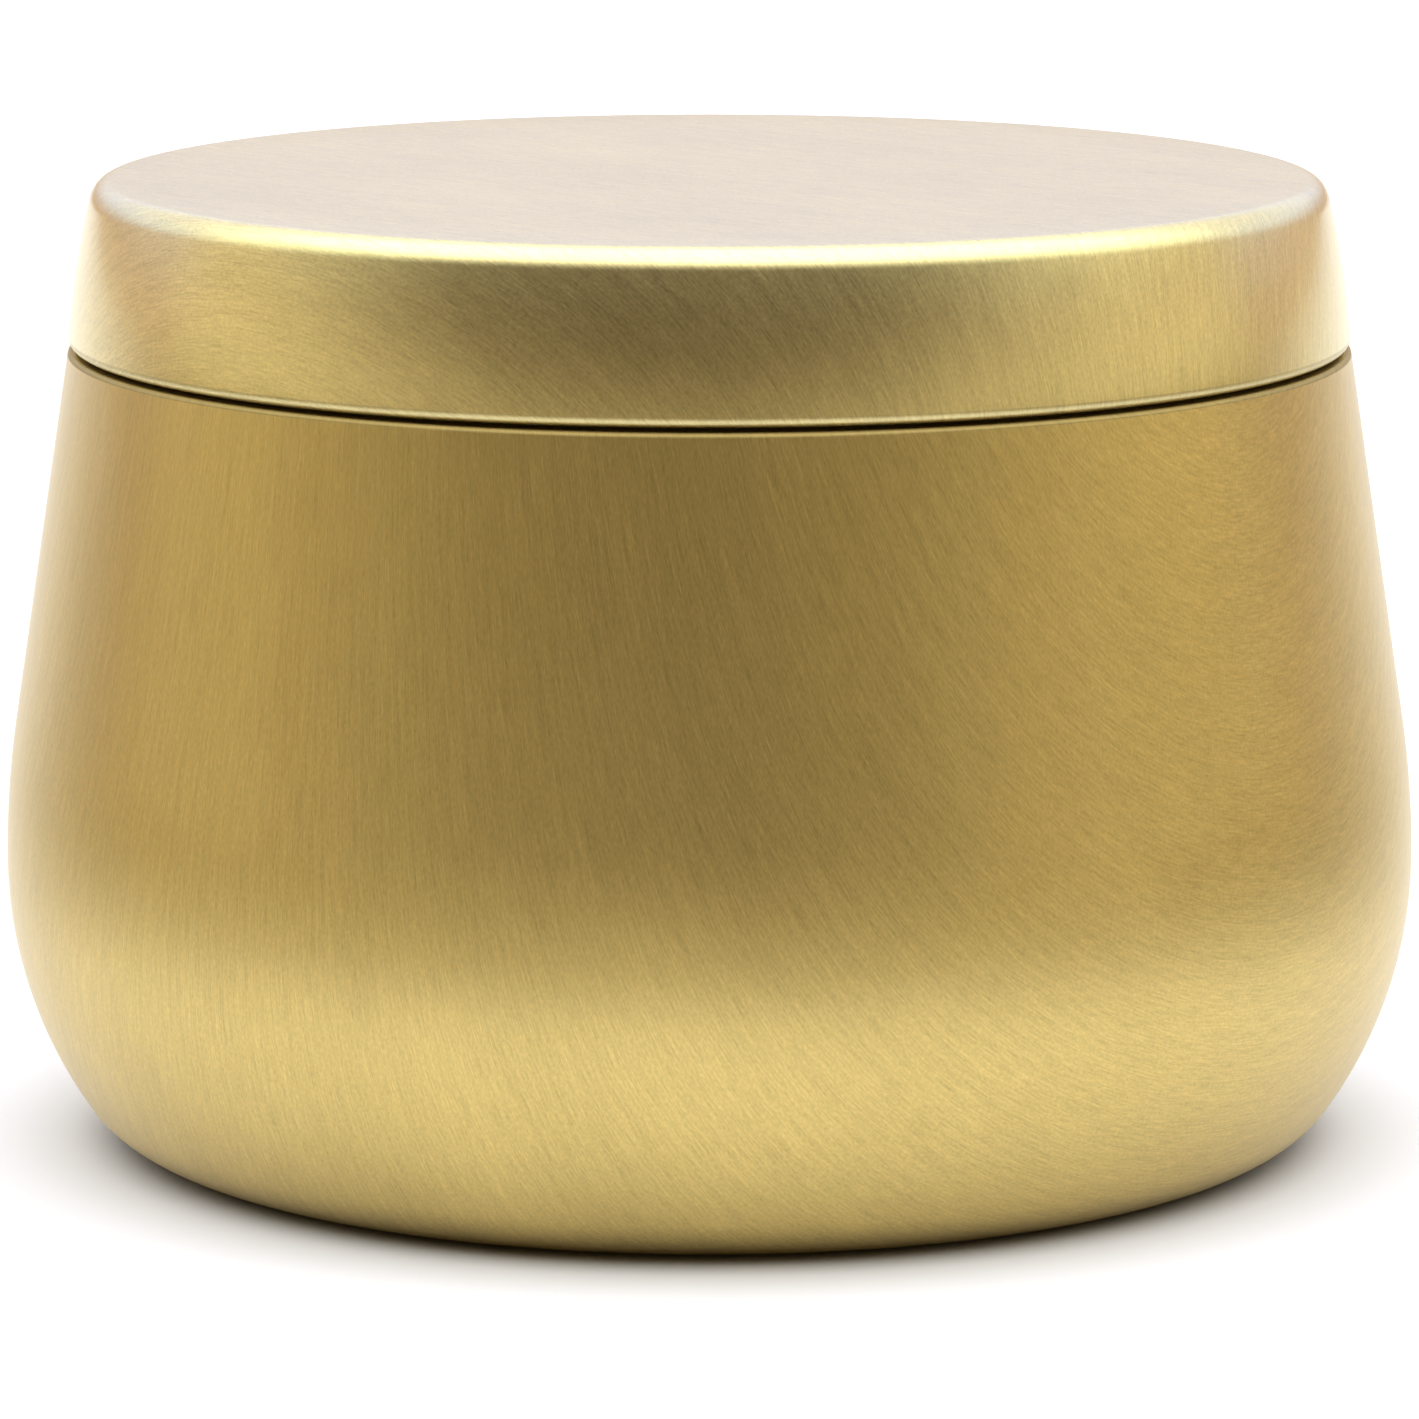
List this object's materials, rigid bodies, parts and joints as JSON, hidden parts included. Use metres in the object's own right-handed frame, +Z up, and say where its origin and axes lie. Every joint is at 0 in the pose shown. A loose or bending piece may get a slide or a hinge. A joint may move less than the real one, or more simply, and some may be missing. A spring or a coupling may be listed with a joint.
{
  "type": "candle tin",
  "caption": "Round bellied metal tin for pouring candles into: a seamless drawn cup with a stepped-in neck and curled mouth, and a flat slip lid that lifts straight off.",
  "frame": {"origin": "middle of the base, on the plane that the standing ring rests on", "axes": "+Z up along the axis that both pieces are turned about; the tin is round, so +X and +Y are free"},
  "size_m": [0.09, 0.09, 0.0614],
  "materials": {
    "body_tinplate": "satin, gold-lacquered tinplate with a fine straight sheet grain",
    "lid_tinplate": "satin, gold-lacquered tinplate with a fine straight sheet grain"
  },
  "bodies": {
    "tin": {"tin_body": "body_tinplate"},
    "lid": {"lid": "lid_tinplate"}
  },
  "joints": [
    {"name": "lid_lift", "type": "slide", "parent": "tin", "child": "lid", "axis": [0, 0, 1], "range_m": [0, 0.045]}
  ]
}
